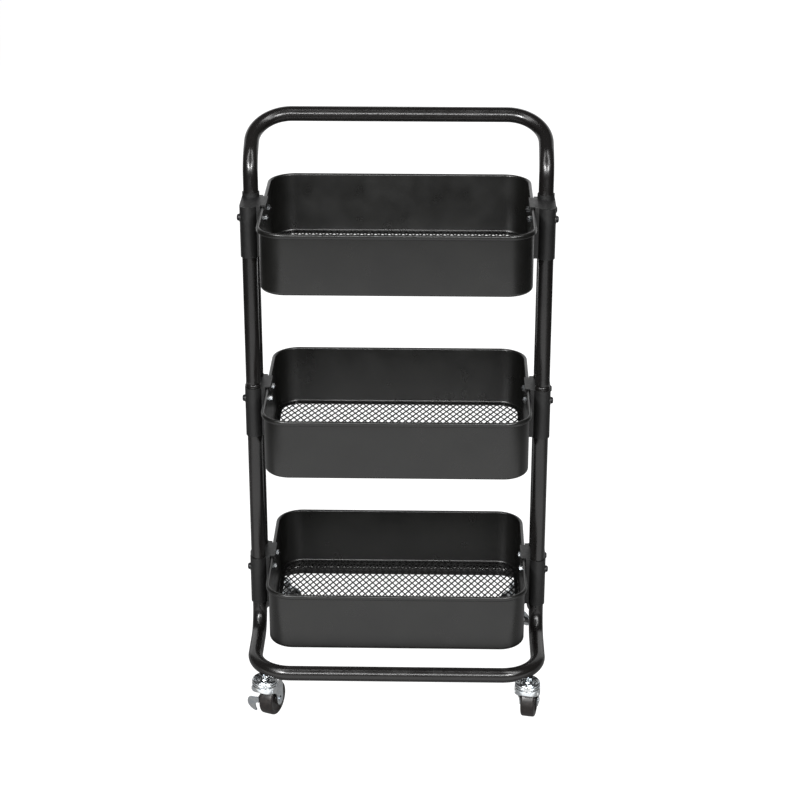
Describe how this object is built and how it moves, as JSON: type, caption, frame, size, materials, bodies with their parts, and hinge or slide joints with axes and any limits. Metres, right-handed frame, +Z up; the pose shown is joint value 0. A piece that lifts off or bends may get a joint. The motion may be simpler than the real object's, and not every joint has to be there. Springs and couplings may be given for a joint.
{
  "type": "rolling pantry cart",
  "caption": "Slim rolling storage cart: open steel baskets with mesh floors clamped between bent tube frames, a leaning push handle on top and swivel casters below.",
  "frame": {"origin": "centre of the cart's bounding box, on the floor", "axes": "+X to the user's right along the baskets' long side, +Y away from the user, +Z up"},
  "size_m": [0.4414, 0.341, 0.8484],
  "materials": {
    "tube_coat": "semi-gloss black powder coat",
    "basket_coat": "satin black powder coat",
    "mesh_coat": "satin black powder coat on expanded mesh",
    "clamp_plastic": "grained black plastic",
    "black_screw": "black oxide",
    "zinc_nut": "zinc plated",
    "zinc_plate": "bright zinc plate",
    "wheel_plastic": "smooth black plastic"
  },
  "bodies": {
    "frame": {"handle_tube": "tube_coat", "front_base_tube": "tube_coat", "rear_base_tube": "tube_coat", "front_post_left": "tube_coat", "front_post_right": "tube_coat", "bottom_basket_wall": "basket_coat", "bottom_basket_mesh": "mesh_coat", "middle_basket_wall": "basket_coat", "middle_basket_mesh": "mesh_coat", "top_basket_wall": "basket_coat", "top_basket_mesh": "mesh_coat", "bottom_clamp_left": "clamp_plastic", "bottom_bolt_left_front": "black_screw", "bottom_nut_left_front": "zinc_nut", "bottom_bolt_left_rear": "black_screw", "bottom_nut_left_rear": "zinc_nut", "bottom_clamp_right": "clamp_plastic", "bottom_bolt_right_front": "black_screw", "bottom_nut_right_front": "zinc_nut", "bottom_bolt_right_rear": "black_screw", "bottom_nut_right_rear": "zinc_nut", "middle_clamp_left": "clamp_plastic", "middle_bolt_left_front": "black_screw", "middle_nut_left_front": "zinc_nut", "middle_bolt_left_rear": "black_screw", "middle_nut_left_rear": "zinc_nut", "middle_clamp_right": "clamp_plastic", "middle_bolt_right_front": "black_screw", "middle_nut_right_front": "zinc_nut", "middle_bolt_right_rear": "black_screw", "middle_nut_right_rear": "zinc_nut", "top_clamp_left": "clamp_plastic", "top_bolt_left_front": "black_screw", "top_nut_left_front": "zinc_nut", "top_bolt_left_rear": "black_screw", "top_nut_left_rear": "zinc_nut", "top_clamp_right": "clamp_plastic", "top_bolt_right_front": "black_screw", "top_nut_right_front": "zinc_nut", "top_bolt_right_rear": "black_screw", "top_nut_right_rear": "zinc_nut", "front_left_caster_stem": "zinc_plate", "front_right_caster_stem": "zinc_plate", "rear_left_caster_stem": "zinc_plate", "rear_right_caster_stem": "zinc_plate"},
    "front_left_fork": {"front_left_caster_fork": "zinc_plate", "front_left_caster_axle": "zinc_plate"},
    "front_left_wheel": {"front_left_caster_wheel": "wheel_plastic"},
    "front_left_brake": {"front_left_brake_lever": "zinc_plate"},
    "front_right_fork": {"front_right_caster_fork": "zinc_plate", "front_right_caster_axle": "zinc_plate"},
    "front_right_wheel": {"front_right_caster_wheel": "wheel_plastic"},
    "rear_left_fork": {"rear_left_caster_fork": "zinc_plate", "rear_left_caster_axle": "zinc_plate"},
    "rear_left_wheel": {"rear_left_caster_wheel": "wheel_plastic"},
    "rear_right_fork": {"rear_right_caster_fork": "zinc_plate", "rear_right_caster_axle": "zinc_plate"},
    "rear_right_wheel": {"rear_right_caster_wheel": "wheel_plastic"},
    "rear_right_brake": {"rear_right_brake_lever": "zinc_plate"}
  },
  "joints": [
    {"name": "front_left_swivel", "type": "hinge", "parent": "frame", "child": "front_left_fork", "pos_m": [-0.189, -0.1445, 0.06], "axis": [0, 0, 1], "continuous": true},
    {"name": "front_left_wheel_roll", "type": "hinge", "parent": "front_left_fork", "child": "front_left_wheel", "pos_m": [-0.18057, -0.1231, 0.025], "axis": [0.9304, -0.3665, 0], "continuous": true},
    {"name": "front_left_brake_press", "type": "hinge", "parent": "front_left_fork", "child": "front_left_brake", "pos_m": [-0.18057, -0.1231, 0.025], "axis": [0.9304, -0.3665, 0], "range_deg": [0, 18]},
    {"name": "front_right_swivel", "type": "hinge", "parent": "frame", "child": "front_right_fork", "pos_m": [0.189, -0.1445, 0.06], "axis": [0, 0, 1], "continuous": true},
    {"name": "front_right_wheel_roll", "type": "hinge", "parent": "front_right_fork", "child": "front_right_wheel", "pos_m": [0.19339, -0.12192, 0.025], "axis": [0.9816, -0.1908, 0], "continuous": true},
    {"name": "rear_left_swivel", "type": "hinge", "parent": "frame", "child": "rear_left_fork", "pos_m": [-0.189, 0.1445, 0.06], "axis": [0, 0, 1], "continuous": true},
    {"name": "rear_left_wheel_roll", "type": "hinge", "parent": "rear_left_fork", "child": "rear_left_wheel", "pos_m": [-0.16767, 0.13588, 0.025], "axis": [-0.3746, -0.9272, 0], "continuous": true},
    {"name": "rear_right_swivel", "type": "hinge", "parent": "frame", "child": "rear_right_fork", "pos_m": [0.189, 0.1445, 0.06], "axis": [0, 0, 1], "continuous": true},
    {"name": "rear_right_wheel_roll", "type": "hinge", "parent": "rear_right_fork", "child": "rear_right_wheel", "pos_m": [0.17088, 0.13034, 0.025], "axis": [-0.6157, 0.788, 0], "continuous": true},
    {"name": "rear_right_brake_press", "type": "hinge", "parent": "rear_right_fork", "child": "rear_right_brake", "pos_m": [0.17088, 0.13034, 0.025], "axis": [-0.6157, 0.788, 0], "range_deg": [0, 18]}
  ]
}
